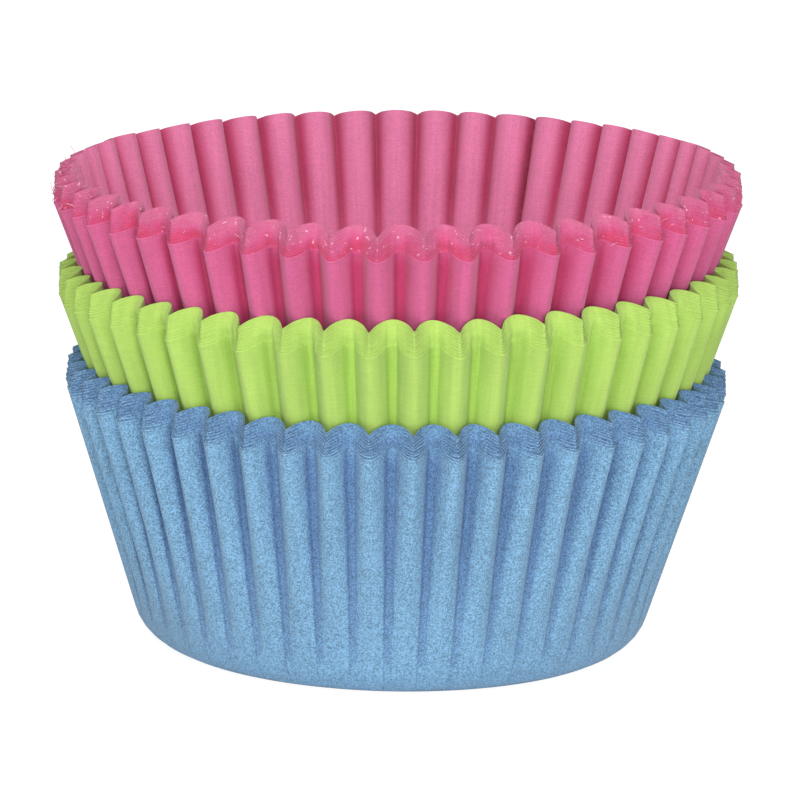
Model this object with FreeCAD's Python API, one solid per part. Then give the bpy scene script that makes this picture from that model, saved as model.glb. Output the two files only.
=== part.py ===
import FreeCAD, Part
import math
import os

# A stack of paper baking cups: a pile of blue ones on the table, a pile of green ones seated in its
# mouth and a pile of pink ones seated in the green one. A pile is pressed liners nested so tightly
# that they act as one body: a round flat floor with a rolled corner, and a flared wall whose flutes
# start at the corner and are deepest at the rim. Each liner stands a little above the one outside
# it, so a pile's rim is a tall band of paper edges between its outermost and innermost liner.
#
# Paper bends only one way at a time, so a flute is made of flat folds and not of a twisted surface:
# a crest opens like a fan from one point of the corner up to the rim, and so does the groove beside
# it, with one flat facet between the two fans.

SIZES = {
    # the liner, in millimetres
    "flutes": 50,
    "floor_radius": 24.6,  # where the lines of wall and floor would meet
    "corner_radius": 4.2,
    "rim_height": 25.4,  # of a pile's outermost liner, halfway between crest and groove
    "flute_depth": 2.0,  # crest to groove at the rim
    "crest_height": 0.9,  # of the rounded part of a crest
    "crest_width": 1.9,  # and its chord, at the rim
    "paper": 0.1,  # the edge that the innermost liner shows
    # the pile
    "pile_rise": 2.4,  # the innermost liner stands this far above the outermost
    "rim_inset": 0.15,  # and its rim lies this far inside the outermost one's
    # the mouth of each pile, halfway between crest and groove
    "blue_mouth": 31.4,
    "green_mouth": 32.3,
    "pink_mouth": 32.65,
    # how each pile sits in the one below: a turn about the axis and a lean to the side, in degrees
    "blue_turn": -0.5,
    "green_turn": -0.4,
    "pink_turn": 1.5,
    "green_lean": -1.5,
    "pink_lean": 0.5,
    "seat_gap": 0.1,  # between the walls of two piles where they touch
}
CREST_FOLDS = 4  # flat facets round each crest
CORNER_FOLDS = 3  # rings of facets round the rolled corner
SEAT_SAMPLES = 60  # places in one flute where the fit of two piles is tried
SEAT_DEPTHS = (-0.4, 1.5, 3.5)  # and heights below the rim, in millimetres
SEAT_STEPS = 14  # halvings of the search for where they touch
NEARLY = 1e-9  # angles that are closer than this, in radians, count as the same
UP = FreeCAD.Vector(0, 0, 1)
SIDEWAYS_AXIS = FreeCAD.Vector(0, 1, 0)  # a turn about it leans a pile to its left or right

document = FreeCAD.newDocument("liner_stack")
sheet = document.addObject("Spreadsheet::Sheet", "Sizes")
for row, (alias, number) in enumerate(SIZES.items(), start=1):
    sheet.set(f"A{row}", alias)
    sheet.set(f"B{row}", str(number))
    sheet.setAlias(f"B{row}", alias)
document.recompute()


def size(alias):
    """A driving size, read back from the sheet."""
    return float(getattr(sheet, alias))


def flutes():
    return round(size("flutes"))


def half_pitch():
    """Half the angle of a flute, in radians."""
    return math.pi / flutes()


def slope(mouth):
    """How far a pile's wall flares outwards for each millimetre of height."""
    return (mouth - size("floor_radius")) / size("rim_height")


def corner_section(mouth):
    """The rolled corner as radius and height, from the floor's edge to the seam where flutes start."""
    lean = math.atan(slope(mouth))
    radius = size("corner_radius")
    centre = size("floor_radius") - radius * (1 / math.cos(lean) - math.tan(lean))
    section = []
    for number in range(CORNER_FOLDS + 1):
        turn = lean + (math.pi / 2 - lean) * (1 - number / CORNER_FOLDS)
        section.append((centre + radius * math.cos(turn), radius - radius * math.sin(turn)))
    return section


def crest_wave(mouth):
    """One flute at the rim, as angle and distance out from its mean radius, from groove to groove."""
    half_depth = size("flute_depth") / 2
    half_chord = size("crest_width") / 2
    rise = size("crest_height")
    radius = (half_chord**2 + rise**2) / (2 * rise)
    half_turn = math.atan2(half_chord, radius - rise)
    wave = [(-half_pitch(), -half_depth)]
    for number in range(CREST_FOLDS + 1):
        turn = half_turn * (2 * number / CREST_FOLDS - 1)
        wave.append((radius * math.sin(turn) / mouth, half_depth - radius * (1 - math.cos(turn))))
    return wave


def place(angle, radius, height):
    return FreeCAD.Vector(radius * math.cos(angle), radius * math.sin(angle), height)


def first_crest(outwards):
    """The inside of a thick pile has its crests, which point in, behind the outside's grooves."""
    return 0 if outwards else -half_pitch()


def plain_ring(radius, height, outwards):
    """A level ring with a corner at the foot of each groove and each crest, as (angle, corner)."""
    start = first_crest(outwards) - half_pitch()
    angles = [start + half_pitch() * number for number in range(2 * flutes())]
    return [(angle, place(angle, radius, height)) for angle in angles]


def rim_ring(mouth, mean, height, outwards):
    """A fluted rim, as (angle, corner). A disc's edge is square to the wall, so it dips at a crest
    that points out and rises at one that points in."""
    side = 1 if outwards else -1
    ring = []
    for number in range(flutes()):
        middle = first_crest(outwards) + 2 * half_pitch() * number
        for angle, out in crest_wave(mouth):
            radius = mean + side * out
            rise = (mouth - radius) * slope(mouth)
            ring.append((middle + angle, place(middle + angle, radius, height + rise)))
    return ring


def fluted_wall(foot, rim):
    """The flat folds of a wall: a fan at each groove and at each crest, with a facet between them."""
    feet = [corner for angle, corner in foot]
    tops = [corner for angle, corner in rim]
    facets = []
    for number in range(flutes()):
        groove_foot, crest_foot = feet[2 * number : 2 * number + 2]
        next_foot = feet[(2 * number + 2) % len(feet)]
        first = number * (CREST_FOLDS + 2)
        groove, *crest = tops[first : first + CREST_FOLDS + 2]
        next_groove = tops[(first + CREST_FOLDS + 2) % len(tops)]
        facets.append((groove_foot, crest[0], groove))
        facets.append((groove_foot, crest_foot, crest[0]))
        facets += [(crest_foot, right, left) for left, right in zip(crest, crest[1:])]
        facets.append((crest_foot, next_foot, crest[-1]))
        facets.append((next_foot, next_groove, crest[-1]))
    return facets


def strip(low, high):
    """Flat facets between two rings. Their corners are taken in turn, the smaller angle first."""
    turn = 2 * math.pi
    low, high = (
        sorted(((angle + half_pitch() + NEARLY) % turn, tuple(corner)) for angle, corner in ring)
        for ring in (low, high)
    )
    low.append((low[0][0] + turn, low[0][1]))
    high.append((high[0][0] + turn, high[0][1]))
    facets = []
    here = there = 0
    while here < len(low) - 1 or there < len(high) - 1:
        low_left = here < len(low) - 1
        high_left = there < len(high) - 1
        if low_left and not (high_left and high[there + 1][0] < low[here + 1][0] - NEARLY):
            facets.append((low[here][1], low[here + 1][1], high[there][1]))
            here += 1
        else:
            facets.append((low[here][1], high[there + 1][1], high[there][1]))
            there += 1
    return facets


def make_pile(colour):
    """A pile of nested liners, standing on the origin."""
    mouth = size(f"{colour}_mouth")
    inset = size("rim_inset") + size("paper")
    rise = size("pile_rise")
    section = corner_section(mouth)

    outer_corner = [plain_ring(radius, height, True) for radius, height in section]
    rim = rim_ring(mouth, mouth, size("rim_height"), True)
    band_top = [(angle, corner + FreeCAD.Vector(0, 0, rise)) for angle, corner in rim]
    inner_rim = rim_ring(mouth, mouth - inset, size("rim_height") + rise, False)
    inner_corner = [plain_ring(radius - inset, height + rise, False) for radius, height in section]

    facets = [[corner for angle, corner in outer_corner[0]]]
    for low, high in zip(outer_corner, outer_corner[1:]):
        facets += strip(low, high)
    facets += fluted_wall(outer_corner[-1], rim)
    facets += strip(rim, band_top) + strip(band_top, inner_rim)
    facets += fluted_wall(inner_corner[-1], inner_rim)
    for low, high in zip(inner_corner, inner_corner[1:]):
        facets += strip(low, high)
    facets.append([corner for angle, corner in inner_corner[0]])
    faces = [Part.Face(Part.makePolygon([*corners, corners[0]])) for corners in facets]
    shell = Part.makeShell(faces)
    shell.sewShape()
    return Part.Solid(shell)


def radius_at(outline, angle):
    """The radius of one flute's outline, from groove to groove, at an angle."""
    for (start, near), (end, far) in zip(outline, outline[1:]):
        if start <= angle <= end:
            return near + (far - near) * (angle - start) / (end - start)
    raise ValueError("the angle is outside the flute")


def within_flute(angle):
    """The same angle in the flute round zero."""
    return math.remainder(angle, 2 * half_pitch())


def flute_at(mouth, height, outwards):
    """One flute of a pile's outside or inside at a height above its floor, from groove to groove."""
    side = 1 if outwards else -1
    inset = 0 if outwards else size("rim_inset") + size("paper")
    raised = 0 if outwards else size("pile_rise")
    seam, seam_height = corner_section(mouth)[-1]
    wave = []
    for angle, out in crest_wave(mouth):
        rim = mouth - inset + side * out
        rim_height = size("rim_height") + (mouth - rim) * slope(mouth)
        growth = (height - raised - seam_height) / (rim_height - seam_height)
        wave.append((growth, angle, seam - inset + growth * (rim + inset - seam)))
    (_, groove, groove_radius), *crest = wave
    growth, rounded, shoulder = crest[-1]
    fan_edge = half_pitch() - growth * (half_pitch() - rounded)
    fans = [(growth * angle, radius) for growth, angle, radius in crest]
    ends = [(-groove, groove_radius)]
    return [(groove, groove_radius), (-fan_edge, shoulder), *fans, (fan_edge, shoulder), *ends]


def fits(lower, upper, turn, lift, depth):
    """Whether the upper pile's outside, lifted so far, clears the lower pile's inside at a depth
    below its rim."""
    height = size("rim_height") + size("pile_rise") - depth
    inside = flute_at(size(f"{lower}_mouth"), height, False)
    outside = flute_at(size(f"{upper}_mouth"), height - lift, True)
    for number in range(SEAT_SAMPLES):
        angle = 2 * half_pitch() * number / SEAT_SAMPLES
        room = radius_at(inside, within_flute(angle - half_pitch())) - size("seat_gap")
        if radius_at(outside, within_flute(angle - turn)) > room:
            return False
    return True


def seat_lift(lower, upper):
    """How high a pile stands in the mouth of another: where its widening flutes first touch.

    A lean shifts the flutes a little to one side at the front and to the other side at the back,
    more so the deeper they are, so both are tried at a few depths.
    """
    turn = math.radians(size(f"{upper}_turn"))
    lean = math.radians(size(f"{upper}_lean"))
    mouth = size(f"{lower}_mouth")
    places = []
    for depth in SEAT_DEPTHS:
        drift = lean * (slope(size(f"{upper}_mouth")) + depth / mouth)
        places += [(turn - drift, depth), (turn, depth), (turn + drift, depth)]
    stuck = size("pile_rise")
    free = size("rim_height")
    for _ in range(SEAT_STEPS):
        lift = (free + stuck) / 2
        if all(fits(lower, upper, shifted, lift, depth) for shifted, depth in places):
            free = lift
        else:
            stuck = lift
    return free


def seat(lower, upper, below):
    """The placement of a pile in the mouth of the one below, turned and leaning to one side.

    It leans about the place on the axis that is square to its wall at the rim below, so that it
    slides round in its seat and stays in touch all the way.
    """
    turned = FreeCAD.Rotation(UP, size(f"{upper}_turn"))
    upright = FreeCAD.Placement(FreeCAD.Vector(0, 0, seat_lift(lower, upper)), turned)
    square = size(f"{lower}_mouth") * slope(size(f"{upper}_mouth"))
    pivot = FreeCAD.Vector(0, 0, size("rim_height") + size("pile_rise") + square)
    lean = FreeCAD.Rotation(SIDEWAYS_AXIS, size(f"{upper}_lean"))
    return below * FreeCAD.Placement(FreeCAD.Vector(), lean, pivot) * upright


def add_pile(colour, placement):
    """The pile as an object of the document, made and then put in its place."""
    pile = document.addObject("Part::Feature", f"{colour}_liners")
    pile.Label = f"{colour}_liners"
    pile.Shape = make_pile(colour)
    pile.Placement = placement
    return pile


def check(piles):
    """Stop if an object failed or a pile is not one sound solid."""
    for item in document.Objects:
        if "Invalid" in item.State or "Error" in item.State:
            raise RuntimeError(f"{item.Label} failed: {item.State}")
    for pile in piles:
        shape = pile.Shape
        if shape.isNull() or not shape.isValid() or len(shape.Solids) != 1:
            raise RuntimeError(f"{pile.Label} is not one sound solid")


on_table = FreeCAD.Placement(FreeCAD.Vector(), FreeCAD.Rotation(UP, size("blue_turn")))
blue = add_pile("blue", on_table)
green = add_pile("green", seat("blue", "green", blue.Placement))
pink = add_pile("pink", seat("green", "pink", green.Placement))
document.recompute()
check([blue, green, pink])

os.makedirs("parts", exist_ok=True)
for pile in (blue, green, pink):
    pile.Shape.exportStep(f"parts/{pile.Label}.step")
    box = pile.Shape.BoundBox
    heights = f"from {round(box.ZMin, 2)} to {round(box.ZMax, 2)} mm"
    print(pile.Label, "volume", round(pile.Shape.Volume), "mm3,", heights)
for lower, upper in (("blue", "green"), ("green", "pink")):
    print(upper, "stands", round(seat_lift(lower, upper), 2), "mm above", lower)
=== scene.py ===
import math

import bpy
import numpy as np
from mathutils import Matrix, Vector


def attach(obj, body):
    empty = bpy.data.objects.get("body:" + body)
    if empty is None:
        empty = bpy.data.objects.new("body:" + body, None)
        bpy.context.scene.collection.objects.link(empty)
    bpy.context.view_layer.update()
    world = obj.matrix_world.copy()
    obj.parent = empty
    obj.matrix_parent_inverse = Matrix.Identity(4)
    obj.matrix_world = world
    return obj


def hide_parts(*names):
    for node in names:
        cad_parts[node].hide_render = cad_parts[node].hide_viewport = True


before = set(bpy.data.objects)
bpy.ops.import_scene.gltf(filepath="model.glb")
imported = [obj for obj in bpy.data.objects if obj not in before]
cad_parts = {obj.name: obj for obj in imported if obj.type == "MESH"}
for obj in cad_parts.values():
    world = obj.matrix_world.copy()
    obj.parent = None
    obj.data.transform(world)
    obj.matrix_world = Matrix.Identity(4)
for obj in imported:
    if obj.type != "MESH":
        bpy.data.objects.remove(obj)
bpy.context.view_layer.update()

# A stack of paper baking cups in three nested piles. Each pile has three skins that meet at its rim:
# the outside of its outermost liner, a band with the edge of each liner in turn, and the inside of
# its innermost liner. Lengths are in millimetres until a mesh is made.

MM = 0.001
FLUTES = 50
PITCH = 2 * math.pi / FLUTES
FLOOR_RADIUS = 24.6
CORNER_RADIUS = 4.2
RIM_HEIGHT = 25.4
HALF_DEPTH = 1.06  # of a flute at the rim
PILE_RISE = 2.4  # from the outermost liner's rim to the innermost one's
RIM_INSET = 0.12  # of the innermost liner's rim behind the outermost one's
PAPER = 0.06  # the thickness of one sheet
LINERS = 10  # in a pile
NOTCH = 0.4  # how much deeper the rim dips at the innermost liner's crests
GROWTH_POWER = 0.95  # how the flutes deepen on the way up the wall
SWELL = 0.34  # how far a pillow of the rim stands out in its middle
SLIT_ANGLE = 9 * PITCH  # where the pink pile's innermost liner has a pinched fold
SLIT_WIDTH = 0.007  # in radians
SLIT_DEPTH = 0.5
FLOOR_PARTS = (0.05, 0.6, 1.0)  # the floor's rings, as shares of its radius
CORNER_ROWS = 7
WALL_COLUMNS = 24  # in each flute
BAND_COLUMNS = 28
CROWDING = 0.66  # how much a wall's columns come together where it bends most

# a flute's shape across: each measure where the flutes start, and what is added on the way to the rim
FLAT_BOTTOM = (0.10, 0.12)
CREST_POWER = (0.80, 0.18)
INNER_POWER = (0.60, 0.08)
INNER_SOFTNESS = 0.09
NARROWING = 0.02  # how much a narrow flute's shape differs
BUCKLE = 0.12  # how far the middle of a groove stands out at the rim
BUCKLE_WIDTH = 0.05

# where the painted shade of a groove fades out at its left and right, in flutes: from, and to
HOLLOW_LEFT = ((0.04, 0.07), (0.13, 0.10))
HOLLOW_RIGHT = ((0.03, 0.03), (0.16, 0.18))
# the painted shade lines along the two folds of a groove
STRONG_CREASE_PLACE = -0.10
STRONG_CREASE_WIDTH = (0.024, 0.018)
FINE_CREASE_WIDTH = 0.020

# how the edge of each sheet shows in the rim
EDGE_LIP = 0.012
EDGE_ROUNDING = 0.05
SHEET_GAP = 0.045
GAP_DEPTH = 0.07

# how the piles sit in each other, as in the solids: millimetres and degrees
PILES = {
    "blue": {"mouth": 31.4, "lift": 0.0, "turn": -0.5, "lean": 0.0, "rows": (36, 12), "seed": 11},
    "green": {"mouth": 32.3, "lift": 10.05, "turn": -0.4, "lean": -1.5, "rows": (28, 16), "seed": 23},
    "pink": {"mouth": 32.65, "lift": 9.06, "turn": 1.5, "lean": 0.5, "rows": (30, 34), "seed": 37},
}
# how far each paper edge stands out over the one above it, and how uneven the edges are
EDGES = {
    "blue": {"tooth": 0.10, "rough": 1.0, "lump": 0.30},
    "green": {"tooth": 0.05, "rough": 0.5, "lump": 0.35},
    "pink": {"tooth": 0.05, "rough": 0.8, "lump": 0.45},
}


def slope(mouth):
    """How far a pile's wall flares outwards for each millimetre of height."""
    return (mouth - FLOOR_RADIUS) / RIM_HEIGHT


def seats():
    """The matrix of each pile, in millimetres. Each is turned, and leans, in the one below."""
    below = Matrix.Rotation(math.radians(PILES["blue"]["turn"]), 4, "Z")
    places = {"blue": below}
    for lower, upper in (("blue", "green"), ("green", "pink")):
        pile = PILES[upper]
        square = PILES[lower]["mouth"] * slope(pile["mouth"])
        pivot = Vector((0, 0, RIM_HEIGHT + PILE_RISE + square))
        lean = Matrix.Rotation(math.radians(pile["lean"]), 4, "Y")
        about_pivot = Matrix.Translation(pivot) @ lean @ Matrix.Translation(-pivot)
        turn = Matrix.Rotation(math.radians(pile["turn"]), 4, "Z")
        below = below @ about_pivot @ Matrix.Translation((0, 0, pile["lift"])) @ turn
        places[upper] = below
    return places


def column_angles(per_flute, crowding):
    """The angles of a ring's corners. Crowding above 0 brings them together in the grooves, and
    below 0 at the crests."""
    part = np.arange(FLUTES * per_flute) / per_flute
    part = part + crowding * np.sin(2 * math.pi * part) / (2 * math.pi)
    return part * PITCH


def grown(measure, share):
    """A measure at a share of the way up the wall."""
    return measure[0] + measure[1] * share


def folded(value, soft, power):
    """The size of a value, rounded where it is near zero and then flattened at the top."""
    top = math.sqrt(1 + soft**2) - soft
    return ((np.sqrt(value**2 + soft**2) - soft) / top) ** power


def ramp(value, low, high):
    """A soft step from 0 at the low value to 1 at the high one."""
    part = np.clip((value - low) / (high - low), 0, 1)
    return part * part * (3 - 2 * part)


def ridge(distance, width):
    """A smooth bump of height 1."""
    return np.exp(-((distance / width) ** 2))


class Pile:
    """The measures of one pile, with the small differences between its flutes."""

    def __init__(self, colour):
        self.colour = colour
        self.mouth = PILES[colour]["mouth"]
        self.random = np.random.default_rng(PILES[colour]["seed"])
        self.lean = math.atan(slope(self.mouth))
        hidden = CORNER_RADIUS * (1 / math.cos(self.lean) - math.tan(self.lean))
        self.corner_centre = FLOOR_RADIUS - hidden
        self.seam = self.corner_centre + CORNER_RADIUS * math.cos(self.lean)
        self.seam_height = CORNER_RADIUS * (1 - math.sin(self.lean))
        self.flute_values = {
            "shift": np.clip(self.random.normal(0, 0.022, FLUTES), -0.03, 0.03) * PITCH,
            "depth": np.clip(self.random.normal(1, 0.06, FLUTES), 0.9, 1.07),
            "narrow": self.random.normal(0, 1.0, FLUTES),
            "tall": self.random.normal(0, 0.07, FLUTES),
            "crease": self.random.uniform(0.35, 1.0, FLUTES),
            "crease_place": self.random.normal(0.115, 0.018, FLUTES),
            "lump": self.random.normal(0, 1.0, FLUTES),
        }

    def per_flute(self, name, angle):
        """A flute's own value, blended from one flute to the next."""
        values = self.flute_values[name]
        place = angle / PITCH
        low = np.floor(place).astype(int)
        part = place - low
        part = part * part * (3 - 2 * part)
        return values[low % FLUTES] * (1 - part) + values[(low + 1) % FLUTES] * part

    def from_groove(self, angle, share):
        """How far a place is from the middle of its groove, in flutes, from -0.5 to 0.5."""
        place = (angle + self.per_flute("shift", angle) * share) / PITCH
        return (place - np.floor(place)) - 0.5

    def wave(self, angle, share, mix):
        """The flutes' shape from -1 to 1. Share is the way up the wall, and mix goes from the
        outermost liner, with wide crests pointing out, to the innermost, with wide crests in."""
        place = self.from_groove(angle, share)
        half = math.pi * (place + 0.5)
        narrow = NARROWING * self.per_flute("narrow", angle)
        # the groove has a nearly flat bottom between its two creases, and the crest is round
        flat = np.clip(grown(FLAT_BOTTOM, share) + narrow, 0.04, 0.3)
        climb = np.clip((2 * np.abs(place) - flat) / (1 - flat), 0, 1)
        out = 2 * np.sin(0.5 * math.pi * climb) ** grown(CREST_POWER, share) - 1
        out = out + BUCKLE * ridge(place, BUCKLE_WIDTH) * share
        in_power = np.clip(grown(INNER_POWER, share) + narrow, 0.4, 0.9)
        inward = 1 - 2 * folded(np.sin(half), INNER_SOFTNESS, in_power)
        return (1 - mix) * out + mix * inward

    def wall(self, angle, share, mix=0.0, raised=0.0, inset=0.0, notch=1.0):
        """A row on a liner's wall: share 0 is where its flutes start and 1 is the rim. Notch is how
        much deeper the rim dips at the crests than its slope alone makes it."""
        growth = share**GROWTH_POWER
        wave = self.wave(angle, share, mix)
        out = HALF_DEPTH * growth * wave * self.per_flute("depth", angle)
        radius = self.seam + (self.mouth - self.seam) * share + out - inset
        dip = np.minimum(out, 0) + np.maximum(out, 0) * notch
        rim = RIM_HEIGHT + self.per_flute("tall", angle) * growth - slope(self.mouth) * dip
        height = self.seam_height + (rim - self.seam_height) * share + raised
        return radius, height, wave

    def slant(self, share):
        """The way along the paper from the middle of the floor to a place on the wall."""
        corner = self.corner_centre + CORNER_RADIUS * (math.pi / 2 - self.lean)
        return corner + (RIM_HEIGHT - self.seam_height) / math.cos(self.lean) * share


class Skin:
    """A surface made ring by ring, with marks for its paper's colour at each point, painted shade and
    highlight among them.
    """

    MARKS = ("hollow", "crease", "edge", "gap", "band", "inner")

    def __init__(self, angle):
        self.angle = angle
        self.points = []
        self.slants = []
        self.marks = {name: [] for name in self.MARKS}

    def ring(self, radius, height, slant, **marks):
        """Adds a ring. Slant is the way along the paper from the middle of the floor."""
        shape = self.angle.shape
        radius = np.broadcast_to(radius, shape)
        height = np.broadcast_to(height, shape)
        corner = [radius * np.cos(self.angle), radius * np.sin(self.angle), height]
        self.points.append(np.stack(corner, axis=1))
        self.slants.append(np.full(shape, slant))
        for name in self.MARKS:
            self.marks[name].append(np.broadcast_to(marks.get(name, 0.0), shape))

    def mesh(self, name, matrix, capped):
        """The mesh of the rings, placed, in metres. A capped skin has a disc on its first ring."""
        columns = len(self.angle)
        rings = len(self.points)
        flat = np.concatenate(self.points)
        turned = np.c_[flat, np.ones(len(flat))] @ np.array(matrix).T
        points = turned[:, :3] * MM
        here = np.arange(columns)
        after = (here + 1) % columns
        starts = np.arange(rings - 1)[:, None] * columns
        sides = (starts + here, starts + after, starts + columns + after, starts + columns + here)
        quads = np.stack(sides, axis=2).reshape(-1, 4)
        loops = quads.ravel()
        lengths = np.full(len(quads), 4)
        if capped:
            loops = np.concatenate([loops, here[::-1]])
            lengths = np.append(lengths, columns)
        mesh = bpy.data.meshes.new(name)
        mesh.vertices.add(len(points))
        mesh.vertices.foreach_set("co", points.astype(np.float32).ravel())
        mesh.loops.add(len(loops))
        mesh.loops.foreach_set("vertex_index", loops.astype(np.int32))
        mesh.polygons.add(len(lengths))
        starts = np.concatenate([[0], np.cumsum(lengths)[:-1]])
        mesh.polygons.foreach_set("loop_start", starts.astype(np.int32))
        mesh.polygons.foreach_set("use_smooth", np.ones(len(lengths), dtype=bool))
        mesh.update(calc_edges=True)
        mesh.validate()
        for label in self.MARKS:
            layer = mesh.attributes.new(label, "FLOAT", "POINT")
            layer.data.foreach_set("value", np.concatenate(self.marks[label]).astype(np.float32))
        angle = np.tile(self.angle, rings)
        sheet = np.stack([np.cos(angle), np.sin(angle), np.concatenate(self.slants)], axis=1)
        layer = mesh.attributes.new("paper", "FLOAT_VECTOR", "POINT")
        layer.data.foreach_set("vector", sheet.astype(np.float32).ravel())
        return mesh


def creases(pile, angle, share):
    """The painted shade lines along a groove's folds: a strong one at its left side and a fine one at
    its right.
    """
    place = pile.from_groove(angle, share)
    strong = ridge(place - STRONG_CREASE_PLACE, grown(STRONG_CREASE_WIDTH, share))
    fine = ridge(place - pile.per_flute("crease_place", angle), FINE_CREASE_WIDTH)
    return np.clip(strong * 0.9 + fine * 0.7 * pile.per_flute("crease", angle), 0, 1)


def add_bottom(skin, pile, inset, rise, inner, lines):
    """The rings of the floor and the rolled corner, with painted crease shade that grows round the
    corner.
    """
    for part in FLOOR_PARTS:
        radius = (pile.corner_centre - inset) * part
        skin.ring(radius, rise, radius, inner=inner)
    for number in range(1, CORNER_ROWS + 1):
        part = number / CORNER_ROWS
        turn = pile.lean + (math.pi / 2 - pile.lean) * (1 - part)
        radius = pile.corner_centre + CORNER_RADIUS * math.cos(turn) - inset
        height = CORNER_RADIUS * (1 - math.sin(turn)) + rise
        slant = pile.corner_centre + CORNER_RADIUS * (math.pi / 2 - turn)
        skin.ring(radius, height, slant, inner=inner, crease=part * lines)


def outside(pile):
    """The floor, the rolled corner and the fluted wall of the outermost liner."""
    skin = Skin(column_angles(WALL_COLUMNS, CROWDING))
    angle = skin.angle
    add_bottom(skin, pile, 0.0, 0.0, 0.0, 0.8 * creases(pile, angle, 0.0))
    rows = PILES[pile.colour]["rows"][0]
    for number in range(1, rows + 1):
        share = number / rows
        radius, height, _ = pile.wall(angle, share)
        place = pile.from_groove(angle, share)
        # painted shade in the groove, fading out on its flanks and near the rim
        left = ramp(-place, *(grown(end, share) for end in HOLLOW_LEFT))
        right = ramp(place, *(grown(end, share) for end in HOLLOW_RIGHT))
        hollow = (1 - left) * (1 - right) * min(1.0, 0.5 + share)
        hollow = hollow * (1 - 0.6 * ramp(share, 0.93, 1.0))
        lines = creases(pile, angle, share) * (0.8 + 0.2 * min(1.0, 4 * share))
        skin.ring(radius, height, pile.slant(share), hollow=hollow, crease=lines)
    return skin


def ragged(random, angle, slow, quick):
    """The unevenness of a paper edge: slow and quick waves round the rim."""
    curve = np.zeros(len(angle))
    for size, waves in ((slow / 2.6, range(2, 9)), (quick / 3.7, range(60, 420, 13))):
        for number in waves:
            height = size * random.normal()
            curve += height * np.sin(number * angle + random.uniform(0, 6.28))
    return curve


def band(pile):
    """The rim: the edge of each liner in turn, each a little above and behind the one outside it.

    Between the crests the edges stand up in a soft pillow, which swells out in its middle.
    """
    skin = Skin(column_angles(BAND_COLUMNS, 0.0))
    angle = skin.angle
    random = pile.random
    edges = EDGES[pile.colour]
    step = PILE_RISE / (LINERS - 1)
    slant = pile.slant(1.0)
    pillow = SWELL * (1 + edges["lump"] * pile.per_flute("lump", angle))

    def edge_at(mix, raised, inset):
        """A ring on the band, with how far it lies in a pillow."""
        notch = 1 + NOTCH * mix
        radius, height, wave = pile.wall(angle, 1.0, mix, raised, inset, notch)
        lobe = 1 - ramp(wave, -0.9, 0.6)
        return radius + lobe * pillow * math.sin(math.pi * mix) ** 1.5, height, lobe

    # the outermost liner's edge, with a painted shadow line below it and painted shade in the pillows
    radius, height, lobe = edge_at(0.0, -0.25, 0.06)
    skin.ring(radius, height, slant, gap=0.5, hollow=0.4 * lobe)
    radius, height, lobe = edge_at(0.0, 0.0, 0.0)
    skin.ring(radius, height, slant, edge=0.8 * (1 - lobe), hollow=0.4 * lobe)
    lower = np.zeros(len(angle))
    sway = np.zeros(len(angle))
    for number in range(1, LINERS):
        mix = number / (LINERS - 1)
        below = (number - 1) / (LINERS - 1)
        inset = RIM_INSET * mix
        # the sheets show in the dips between the pillows, and little on the pillows themselves
        clear = 1 - 0.92 * lobe
        even = 0.0 if number == LINERS - 1 else clear
        raised = PILE_RISE * mix + ragged(random, angle, 0.045, 0.028 * edges["rough"]) * even
        next_sway = ragged(random, angle, 0.03, 0.022 * edges["rough"]) * even
        # painted shade low in the rim's pillows, most near the outermost liner
        shade = 0.45 * (1 - mix) ** 2
        lip = (lower + EDGE_LIP, RIM_INSET * below + EDGE_ROUNDING)
        # the gap behind each edge, where a painted shadow line goes
        gap = (lower - GAP_DEPTH, inset + SHEET_GAP + edges["tooth"])
        # the part of the way up to this sheet's edge, and then which sheet, how it lies and its marks
        rows = (
            (0.06, below, lip, sway, {"edge": 0.5 * clear}),
            (0.36, mix, gap, sway, {"gap": clear}),
            (0.68, mix, (raised - step * 0.5, inset + SHEET_GAP), next_sway, {"gap": 0.22 * clear}),
            (1.0, mix, (raised, inset), next_sway, {"edge": clear}),
        )
        for part, sheet, lie, aside, marks in rows:
            open_radius, open_height, _ = edge_at(sheet, *lie)
            between = below + part * (mix - below)
            closed_rise = lower + part * (raised - lower)
            radius, height, lobe = edge_at(between, closed_rise, RIM_INSET * between)
            radius = radius + (open_radius - radius) * clear + aside
            height = height + (open_height - height) * clear
            skin.ring(radius, height, slant, band=sheet, hollow=shade * lobe, **marks)
        lower = raised
        sway = next_sway
    radius, height, _ = edge_at(1.0, PILE_RISE, RIM_INSET + PAPER)
    skin.ring(radius, height, slant, edge=1.0, band=1.0)
    radius, height, _ = edge_at(1.0, PILE_RISE - 0.3, RIM_INSET + PAPER - 0.02)
    skin.ring(radius, height, slant, band=1.0, inner=1.0)
    return skin


def inside(pile):
    """The inside of the innermost liner, from the middle of its floor to its rim."""
    skin = Skin(column_angles(WALL_COLUMNS, -CROWDING))
    angle = skin.angle
    inset = RIM_INSET + PAPER
    add_bottom(skin, pile, inset, PILE_RISE, 1.0, 0.0)
    pinched = ridge(angle - SLIT_ANGLE, SLIT_WIDTH) * (pile.colour == "pink")
    rows = PILES[pile.colour]["rows"][1]
    for number in range(1, rows + 1):
        share = number / rows
        notch = 1 + NOTCH * share**6
        radius, height, wave = pile.wall(angle, share, 1.0, PILE_RISE, inset, notch)
        # painted shade in the grooves of the inside
        hollow = ramp(wave, -0.75, 0.6) * min(1.0, 0.2 + 1.2 * share)
        # a pinched slit, with painted shade in it
        slit = pinched * ramp(share, 0.3, 0.5)
        radius = radius + SLIT_DEPTH * slit * (1 - ramp(share, 0.80, 0.95))
        skin.ring(radius, height, pile.slant(share), hollow=hollow, gap=3.0 * slit, inner=1.0)
    return skin


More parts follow.
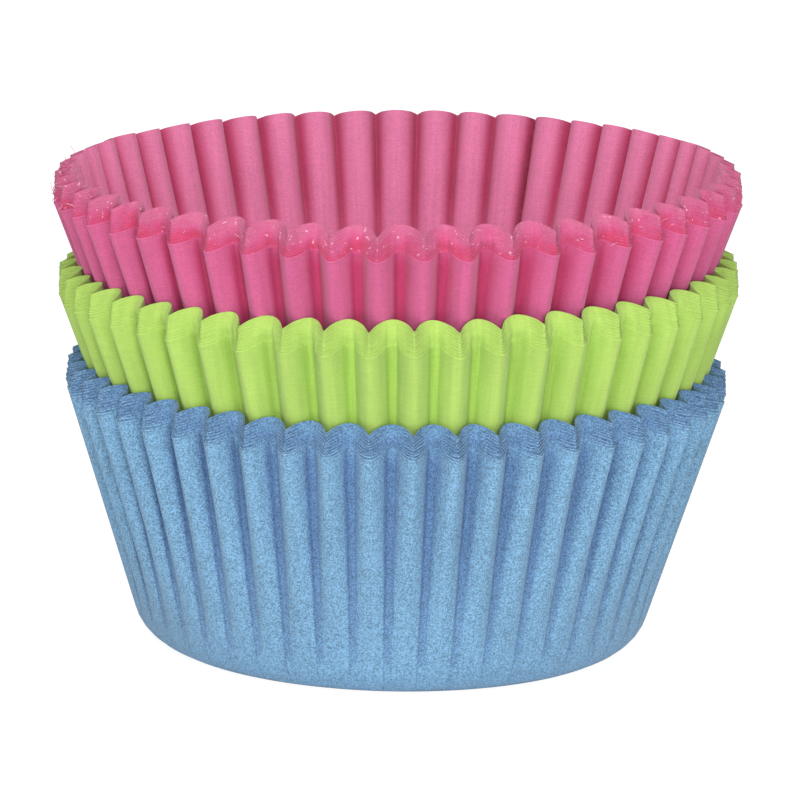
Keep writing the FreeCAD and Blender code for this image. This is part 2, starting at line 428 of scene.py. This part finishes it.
class Nodes:
    """The nodes of a material or of the world, added one by one."""

    def __init__(self, owner):
        owner.use_nodes = True
        self.tree = owner.node_tree
        self.tree.nodes.clear()

    def add(self, kind, **settings):
        node = self.tree.nodes.new(kind)
        for key, value in settings.items():
            setattr(node, key, value)
        return node

    def put(self, source, socket):
        """Puts a number, a colour or another node's output into a socket."""
        if isinstance(source, (int, float)):
            socket.default_value = source
        elif isinstance(source, tuple):
            socket.default_value = (*source, 1)
        else:
            self.tree.links.new(source, socket)

    def attribute(self, name, output="Fac"):
        return self.add("ShaderNodeAttribute", attribute_name=name).outputs[output]

    def place(self):
        return self.add("ShaderNodeTexCoord").outputs["Object"]

    def math(self, operation, first, second, clamp=False):
        node = self.add("ShaderNodeMath", operation=operation, use_clamp=clamp)
        self.put(first, node.inputs[0])
        self.put(second, node.inputs[1])
        return node.outputs[0]

    def product(self, first, *others):
        for other in others:
            first = self.math("MULTIPLY", first, other)
        return first

    def total(self, first, *others):
        for other in others:
            first = self.math("ADD", first, other)
        return first

    def spread(self, source, amount):
        """A noise between 0 and 1 brought around zero, to a height."""
        return self.product(self.math("SUBTRACT", source, 0.5), amount)

    def remap(self, source, low, high, new_low=0.0, new_high=1.0):
        node = self.add("ShaderNodeMapRange")
        self.put(source, node.inputs["Value"])
        node.inputs["From Min"].default_value = low
        node.inputs["From Max"].default_value = high
        node.inputs["To Min"].default_value = new_low
        node.inputs["To Max"].default_value = new_high
        return node.outputs["Result"]

    def noise(self, vector, stretch, roughness, detail=2.0):
        """A noise whose cells are so many to the unit of its vector along each axis."""
        scaled = self.add("ShaderNodeVectorMath", operation="MULTIPLY")
        self.put(vector, scaled.inputs[0])
        scaled.inputs[1].default_value = stretch
        node = self.add("ShaderNodeTexNoise")
        self.put(scaled.outputs[0], node.inputs["Vector"])
        node.inputs["Scale"].default_value = 1.0
        node.inputs["Detail"].default_value = detail
        node.inputs["Roughness"].default_value = roughness
        return node.outputs["Fac"]

    def mix(self, factor, first, second, blend="MIX"):
        node = self.add("ShaderNodeMix", data_type="RGBA", blend_type=blend)
        self.put(factor, node.inputs[0])
        self.put(first, node.inputs[6])
        self.put(second, node.inputs[7])
        return node.outputs[2]

    def toned(self, colour, tone):
        """A colour made lighter or darker by a number."""
        grey = self.add("ShaderNodeCombineColor")
        for socket in grey.inputs:
            self.put(tone, socket)
        return self.mix(1.0, colour, grey.outputs[0], "MULTIPLY")

    def dull(self, colour, rough):
        """A surface with little gloss, which is the material's result."""
        shader = self.add("ShaderNodeBsdfPrincipled")
        self.put(colour, shader.inputs["Base Color"])
        self.put(rough, shader.inputs["Roughness"])
        shader.inputs["Specular IOR Level"].default_value = 0.2
        self.finish("ShaderNodeOutputMaterial", shader)
        return shader

    def finish(self, kind, shader):
        self.put(shader.outputs[0], self.add(kind).inputs["Surface"])


# each paper's colours, the colour of its painted shade among them, and how strongly its grain,
# fibres, painted shadow lines with pale edges, and painted shade show
PAPERS = {
    "blue": {
        "plain": (0.174, 0.342, 0.515),
        "inner": (0.174, 0.342, 0.515),
        "deep": (0.060, 0.125, 0.300),
        "edge": (0.250, 0.420, 0.590),
        "grain": 1.12,
        "fibres": 0.25,
        "gaps": 1.0,
        "hollow": 0.64,
    },
    "green": {
        "plain": (0.388, 0.575, 0.120),
        "inner": (0.388, 0.575, 0.120),
        "deep": (0.290, 0.500, 0.058),
        "edge": (0.450, 0.640, 0.180),
        "grain": 0.10,
        "fibres": 0.22,
        "gaps": 0.30,
        "hollow": 0.44,
    },
    "pink": {
        "plain": (0.570, 0.105, 0.246),
        # the inside, painted paler and less saturated than the outside: painted sheen and highlight
        "inner": (0.700, 0.205, 0.370),
        "deep": (0.440, 0.026, 0.105),
        "edge": (0.620, 0.150, 0.270),
        "grain": 0.20,
        "fibres": 0.25,
        "gaps": 0.28,
        "hollow": 0.86,
    },
}
SOAKED_PINK = (0.55, 0.042, 0.115)  # painted shade, deep and saturated, low in the rim's pillows
FADED_PINK = (0.56, 0.165, 0.275)  # painted highlight on top of the pillows
PALE_SPECK = (0.90, 0.52, 0.58)
DYED_FIBRE = (0.62, 0.15, 0.26)
PALE_FIBRE = (0.86, 0.50, 0.58)

# the cells of each noise to the metre along x, y and z, and its roughness
FELT = ((6400, 6400, 6400), 0.6)
BLOTS = ((1500, 1500, 1500), 0.6)
TUFTS = ((520, 520, 520), 0.6)
CLOUDS = ((140, 140, 140), 0.5)
SPECKS = ((2600, 2600, 2600), 0.5)
PATCHES = ((900, 900, 900), 0.5)
ACROSS = ((600, 600, 6400), 0.6)
# on the flat paper: two round the pile and one to the millimetre along its slant
ALONG = ((75, 75, 0.12), 0.55)
BUMP_DISTANCE = 0.00006


def pink_rim(nodes, place, band, colour):
    """The pink pile's rim: painted shade over it, deeper low down, painted highlight on top, with
    pale specks.
    """
    tufts = nodes.noise(place, *TUFTS)
    on_band = nodes.remap(band, 0.0, 0.06)
    low = nodes.remap(nodes.total(band, nodes.spread(tufts, 1.7)), 0.60, 0.0)
    colour = nodes.mix(nodes.product(on_band, 0.16), colour, PAPERS["pink"]["deep"])
    colour = nodes.mix(nodes.product(low, on_band, 0.76), colour, SOAKED_PINK)
    high = nodes.remap(nodes.total(band, nodes.spread(tufts, 1.6)), 0.50, 0.95)
    colour = nodes.mix(nodes.product(high, on_band, 0.48), colour, FADED_PINK)
    specks = nodes.remap(nodes.noise(place, *SPECKS, detail=1.0), 0.70, 0.75)
    return nodes.mix(nodes.product(specks, on_band, 0.7), colour, PALE_SPECK)


def paper_material(colour):
    """Dyed paper: a felt of fine fibres, painted shade in the grooves and folds, painted shadow lines
    between the sheets, and pale edges, partly painted highlight.
    """
    look = PAPERS[colour]
    material = bpy.data.materials.new(f"{colour}_paper")
    nodes = Nodes(material)
    place = nodes.place()
    marks = {name: nodes.attribute(name) for name in Skin.MARKS}
    felt = nodes.noise(place, *FELT)
    blots = nodes.noise(place, *BLOTS)
    clouds = nodes.noise(place, *CLOUDS)
    across = nodes.noise(place, *ACROSS)
    along = nodes.noise(nodes.attribute("paper", "Vector"), *ALONG)

    # the colour of painted shade lines: the shade colour, darker still
    def line_colour(share):
        return tuple(share * part for part in look["deep"])

    # the inside's colour, which for pink holds painted sheen and highlight
    body = nodes.mix(marks["inner"], look["plain"], look["inner"])
    # painted shade in the grooves and in the rim's pillows
    folded_in = nodes.mix(nodes.product(marks["hollow"], look["hollow"]), body, look["deep"])
    # painted shade lines along the folds of the grooves
    pressed = nodes.mix(nodes.product(marks["crease"], 0.62), folded_in, line_colour(0.72))
    # the blue rim is darker than its wall, mixed part way towards the shade colour
    if colour == "blue":
        deeper = nodes.remap(marks["band"], 0.0, 0.3, 0.0, 0.50)
        pressed = nodes.mix(deeper, pressed, look["deep"])
    if colour == "pink":
        pressed = pink_rim(nodes, place, marks["band"], pressed)
    # the edges of the sheets are paler: partly pale cut edges, partly a painted highlight on their
    # tops
    patchy = nodes.remap(blots, 0.36, 0.60)
    pale = nodes.product(marks["edge"], patchy, 0.6 * look["gaps"] + 0.1)
    edged = nodes.mix(pale, pressed, look["edge"])
    # painted shadow lines in the gaps between the sheets and in the pinched slit
    broken = nodes.remap(blots, 0.40, 0.58, 0.45, 1.0)
    dark = nodes.math("MULTIPLY", nodes.product(marks["gap"], broken), look["gaps"], clamp=True)
    lined = nodes.mix(dark, edged, line_colour(0.6))

    shade = nodes.total(
        nodes.spread(felt, 3.6 * look["grain"]),
        nodes.spread(blots, 0.5 * look["grain"]),
        nodes.spread(across, look["fibres"]),
        nodes.spread(along, 0.35),
        nodes.spread(clouds, 0.25),
    )
    final = nodes.toned(lined, nodes.remap(shade, -0.5, 0.5, 0.60, 1.36))

    relief = nodes.total(nodes.product(felt, look["grain"] + 0.1), nodes.spread(across, 0.35))
    bump = nodes.add("ShaderNodeBump")
    bump.inputs["Strength"].default_value = 0.5
    bump.inputs["Distance"].default_value = BUMP_DISTANCE
    nodes.put(relief, bump.inputs["Height"])

    shader = nodes.dull(final, nodes.remap(felt, 0.3, 0.7, 0.78, 0.95))
    nodes.put(bump.outputs["Normal"], shader.inputs["Normal"])
    shader.inputs["Sheen Weight"].default_value = 0.12
    shader.inputs["Sheen Roughness"].default_value = 0.6
    return material


def fibre_material():
    """Pale torn fibres, with the dye uneven along them."""
    material = bpy.data.materials.new("pink_fibre")
    nodes = Nodes(material)
    patches = nodes.noise(nodes.place(), *PATCHES)
    colour = nodes.mix(nodes.remap(patches, 0.38, 0.62), DYED_FIBRE, PALE_FIBRE)
    nodes.dull(colour, nodes.remap(patches, 0.3, 0.7, 0.7, 0.9))
    return material


def add_piece(name, mesh, colour, material):
    mesh.materials.append(material)
    piece = bpy.data.objects.new(name, mesh)
    bpy.context.scene.collection.objects.link(piece)
    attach(piece, "root")
    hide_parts(f"{colour}_liners")


# the loose fibres of the pink rim: those that aren't at its left or right are spread along its front
FIBRE_SEED = 61
LEFT_FIBRES = 140
RIGHT_FIBRES = 25
FIBRES = 210
TUFT_SPREAD = 0.20  # in radians
FIBRE_RINGS = 7
FIBRE_SIDES = 3
FIBRE_BEND = 0.30
FIBRE_TAPER = 0.75


def fibre_place(random, number):
    """A fibre's angle on the rim, and its length: tufts at the left and right, sparse between."""
    if number < LEFT_FIBRES:
        return math.pi + random.normal(0, TUFT_SPREAD), random.uniform(0.6, 1.7)
    if number < LEFT_FIBRES + RIGHT_FIBRES:
        return random.normal(0, TUFT_SPREAD), random.uniform(0.5, 1.4)
    return -math.pi / 2 + random.uniform(-1.5, 1.5), random.uniform(0.3, 0.9)


def strand(random, start, aim, length, thick):
    """The corners of a thin bent fibre with three sides, ring by ring."""
    corners = []
    direction = aim.normalized()
    point = start.copy()
    sideways = direction.cross(Vector(random.normal(0, 1, 3))).normalized()
    for number in range(FIBRE_RINGS):
        other = direction.cross(sideways).normalized()
        width = thick * (1 - FIBRE_TAPER * number / (FIBRE_RINGS - 1))
        for side in range(FIBRE_SIDES):
            turn = 2 * math.pi * side / FIBRE_SIDES
            corners.append(point + (sideways * math.cos(turn) + other * math.sin(turn)) * width)
        point = point + direction * (length / (FIBRE_RINGS - 1))
        direction = (direction + Vector(random.normal(0, FIBRE_BEND, 3))).normalized()
    return corners


def loose_fibres(pile, matrix):
    """Torn fibres that stick out of the rim."""
    random = np.random.default_rng(FIBRE_SEED)
    points = []
    faces = []
    for number in range(FIBRES):
        angle, reach = fibre_place(random, number)
        mix = random.uniform(0.05, 0.95)
        inset = RIM_INSET * mix - 0.10
        at = np.array([angle])
        radius, height, _ = pile.wall(at, 1.0, mix, PILE_RISE * mix, inset, 1 + NOTCH * mix)
        outward = Vector((math.cos(angle), math.sin(angle), 0))
        around = Vector((-math.sin(angle), math.cos(angle), 0))
        start = outward * float(radius[0]) + Vector((0, 0, float(height[0]) - 0.05))
        aim = around * random.choice((-1, 1)) + outward * random.uniform(-0.15, 0.12)
        aim = aim + Vector((0, 0, random.uniform(-0.6, 0.3)))
        first = len(points)
        points += strand(random, start, aim, reach, random.uniform(0.030, 0.065))
        for ring in range(FIBRE_RINGS - 1):
            row = first + FIBRE_SIDES * ring
            for side in range(FIBRE_SIDES):
                here = row + side
                after = row + (side + 1) % FIBRE_SIDES
                faces.append((here, after, after + FIBRE_SIDES, here + FIBRE_SIDES))
    mesh = bpy.data.meshes.new("pink_fibres")
    mesh.from_pydata([matrix @ point * MM for point in points], [], faces)
    return mesh


def add_pile(colour, matrix):
    pile = Pile(colour)
    material = paper_material(colour)
    skins = (("outside", outside, True), ("rim", band, False), ("inside", inside, True))
    for part, make, capped in skins:
        name = f"{colour}_{part}"
        add_piece(name, make(pile).mesh(name, matrix, capped), colour, material)
    if colour == "pink":
        add_piece("pink_fibres", loose_fibres(pile, matrix), colour, fibre_material())


# the photograph's camera, in millimetres and degrees, from the fit of the rims and silhouettes
CAMERA_TARGET = Vector((0, 0, 25))
CAMERA_DISTANCE = 556.7
CAMERA_ELEVATION = 12.45
CAMERA_ROLL = 1.28
PIXELS_PER_MM = 10.16
PICTURE = 800
TARGET_PIXEL = (395.8, 386.7)
SENSOR = 36.0


def add_camera():
    lift = math.radians(CAMERA_ELEVATION)
    forward = Vector((0, math.cos(lift), -math.sin(lift)))
    data = bpy.data.cameras.new("camera")
    data.sensor_width = SENSOR
    data.lens = CAMERA_DISTANCE * PIXELS_PER_MM * SENSOR / PICTURE
    data.shift_x = (PICTURE / 2 - TARGET_PIXEL[0]) / PICTURE
    data.shift_y = (TARGET_PIXEL[1] - PICTURE / 2) / PICTURE
    data.clip_start = 0.01
    camera = bpy.data.objects.new("camera", data)
    place = Matrix.Translation((CAMERA_TARGET - forward * CAMERA_DISTANCE) * MM)
    aim = forward.to_track_quat("-Z", "Y").to_matrix().to_4x4()
    camera.matrix_world = place @ aim @ Matrix.Rotation(math.radians(CAMERA_ROLL), 4, "Z")
    bpy.context.scene.collection.objects.link(camera)
    bpy.context.scene.camera = camera


WORLD_STRENGTH = 0.39
WHITE_STRENGTH = 1.14
SHADOW_SHARE = 0.16  # how much of the floor's shadow the camera sees
MATT_WHITE = (0.95, 0.95, 0.95)
WHITE = (1.0, 1.0, 1.0)
FLOOR_HALF = 1.5
FLOOR_DROP = 0.00002
# each lamp's place and width in metres, and its power in watts
LAMPS = {
    "key": ((-0.07, -0.50, 0.58), 0.40, 3.3),
    "low_fill": ((0.08, -0.60, 0.13), 0.24, 1.4),
    "back_fill": ((0.10, 0.60, 0.30), 0.30, 1.6),
}


def floor_material():
    """White to the camera, with some of the shadow that falls on it."""
    material = bpy.data.materials.new("pale_floor")
    nodes = Nodes(material)
    path = nodes.add("ShaderNodeLightPath").outputs
    seen = nodes.math("MAXIMUM", path["Is Camera Ray"], path["Is Glossy Ray"])
    seen = nodes.math("MAXIMUM", seen, path["Is Transmission Ray"])
    matt = nodes.add("ShaderNodeBsdfDiffuse")
    nodes.put(MATT_WHITE, matt.inputs["Color"])
    white = nodes.add("ShaderNodeEmission")
    nodes.put(WHITE, white.inputs["Color"])
    white.inputs["Strength"].default_value = WHITE_STRENGTH
    mixed = nodes.add("ShaderNodeMixShader")
    nodes.put(nodes.product(seen, 1 - SHADOW_SHARE), mixed.inputs[0])
    nodes.put(matt.outputs[0], mixed.inputs[1])
    nodes.put(white.outputs[0], mixed.inputs[2])
    nodes.finish("ShaderNodeOutputMaterial", mixed)
    return material


def add_floor():
    mesh = bpy.data.meshes.new("floor")
    near, far = -FLOOR_HALF, FLOOR_HALF
    corners = [(near, near, 0), (far, near, 0), (far, far, 0), (near, far, 0)]
    mesh.from_pydata(corners, [], [(0, 1, 2, 3)])
    mesh.materials.append(floor_material())
    floor = bpy.data.objects.new("floor", mesh)
    floor.location.z = -FLOOR_DROP
    bpy.context.scene.collection.objects.link(floor)


def add_world():
    """An even white light, brighter to the camera and in mirrors than on the paper."""
    world = bpy.data.worlds.new("studio")
    bpy.context.scene.world = world
    nodes = Nodes(world)
    path = nodes.add("ShaderNodeLightPath").outputs
    seen = nodes.math("MAXIMUM", path["Is Camera Ray"], path["Is Glossy Ray"])
    background = nodes.add("ShaderNodeBackground")
    nodes.put(WHITE, background.inputs["Color"])
    nodes.put(nodes.remap(seen, 0.0, 1.0, WORLD_STRENGTH, 1.0), background.inputs["Strength"])
    nodes.finish("ShaderNodeOutputWorld", background)


def add_lamp(name, place, width, power):
    data = bpy.data.lights.new(name, "AREA")
    data.shape = "DISK"
    data.size = width
    data.energy = power
    lamp = bpy.data.objects.new(name, data)
    lamp.location = place
    aim = CAMERA_TARGET * MM - Vector(place)
    lamp.rotation_euler = aim.to_track_quat("-Z", "Y").to_euler()
    bpy.context.scene.collection.objects.link(lamp)


bpy.context.scene.view_settings.view_transform = "Standard"
for colour, matrix in seats().items():
    add_pile(colour, matrix)
add_camera()
add_floor()
add_world()
for name, lamp in LAMPS.items():
    add_lamp(name, *lamp)
